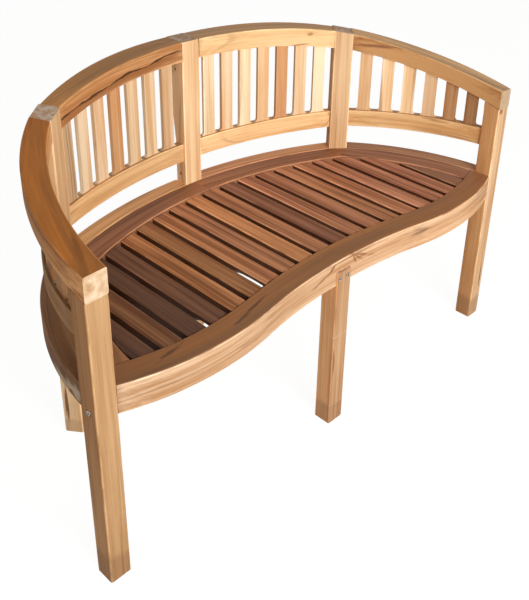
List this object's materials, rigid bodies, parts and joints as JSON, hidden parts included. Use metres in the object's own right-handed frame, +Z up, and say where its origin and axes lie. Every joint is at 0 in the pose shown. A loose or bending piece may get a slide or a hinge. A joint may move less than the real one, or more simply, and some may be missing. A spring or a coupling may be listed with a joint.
{
  "type": "teak garden sofa",
  "caption": "Curved teak garden sofa: a rail sweeps from arm to arm over slatted back panels, above a slatted kidney-shaped seat on square legs.",
  "frame": {"origin": "on the floor, under the middle of the sofa's width and depth", "axes": "+X to the right hand of a person who looks at the sofa's front, along its length; -Y towards the open front, +Y towards the back rest; +Z up"},
  "size_m": [1.246, 0.5876, 0.804],
  "materials": {
    "leg_teak": "satin, lightly oiled",
    "side_rail_teak": "satin, lightly oiled",
    "back_rail_teak": "satin, lightly oiled",
    "back_slat_teak": "satin, lightly oiled",
    "front_rail_teak": "satin, lightly oiled",
    "ring_teak": "satin, lightly oiled",
    "border_teak": "satin, lightly oiled",
    "ledger_teak": "sawn, unfinished",
    "seat_slat_teak": "satin, lightly oiled",
    "bolt_steel": "satin"
  },
  "bodies": {
    "root": {"leg_front_left": "leg_teak", "leg_front_middle": "leg_teak", "leg_front_right": "leg_teak", "leg_back_left": "leg_teak", "leg_back_middle": "leg_teak", "leg_back_right": "leg_teak", "top_rail_side_left": "side_rail_teak", "top_rail_side_right": "side_rail_teak", "top_rail_back_left": "back_rail_teak", "top_rail_back_right": "back_rail_teak", "lower_rail_side_left": "side_rail_teak", "lower_rail_side_right": "side_rail_teak", "lower_rail_back_left": "back_rail_teak", "lower_rail_back_right": "back_rail_teak", "side_slats_left": "back_slat_teak", "back_slats_left": "back_slat_teak", "back_slats_right": "back_slat_teak", "side_slats_right": "back_slat_teak", "seat_front_rail_left": "front_rail_teak", "seat_front_rail_right": "front_rail_teak", "seat_ring_side_left": "ring_teak", "seat_ring_side_right": "ring_teak", "seat_ring_back_left": "ring_teak", "seat_ring_back_right": "ring_teak", "border_side_left": "border_teak", "border_back_left": "border_teak", "border_back_right": "border_teak", "border_side_right": "border_teak", "ledger_side_left": "ledger_teak", "ledger_back_left": "ledger_teak", "ledger_back_right": "ledger_teak", "ledger_side_right": "ledger_teak", "ledger_front_left": "ledger_teak", "ledger_front_right": "ledger_teak", "cross_bearer": "ledger_teak", "leg_bolts": "bolt_steel", "middle_leg_bolts": "bolt_steel", "leg_plugs": "leg_teak", "seat_slat_1": "seat_slat_teak", "seat_slat_2": "seat_slat_teak", "seat_slat_3": "seat_slat_teak", "seat_slat_4": "seat_slat_teak", "seat_slat_5": "seat_slat_teak", "seat_slat_6": "seat_slat_teak", "seat_slat_7": "seat_slat_teak", "seat_slat_8": "seat_slat_teak", "seat_slat_9": "seat_slat_teak", "seat_slat_10": "seat_slat_teak", "seat_slat_11": "seat_slat_teak", "seat_slat_12": "seat_slat_teak", "seat_slat_13": "seat_slat_teak", "seat_slat_14": "seat_slat_teak", "seat_slat_15": "seat_slat_teak", "seat_slat_16": "seat_slat_teak", "seat_slat_17": "seat_slat_teak", "seat_slat_18": "seat_slat_teak", "seat_slat_19": "seat_slat_teak"}
  },
  "joints": []
}
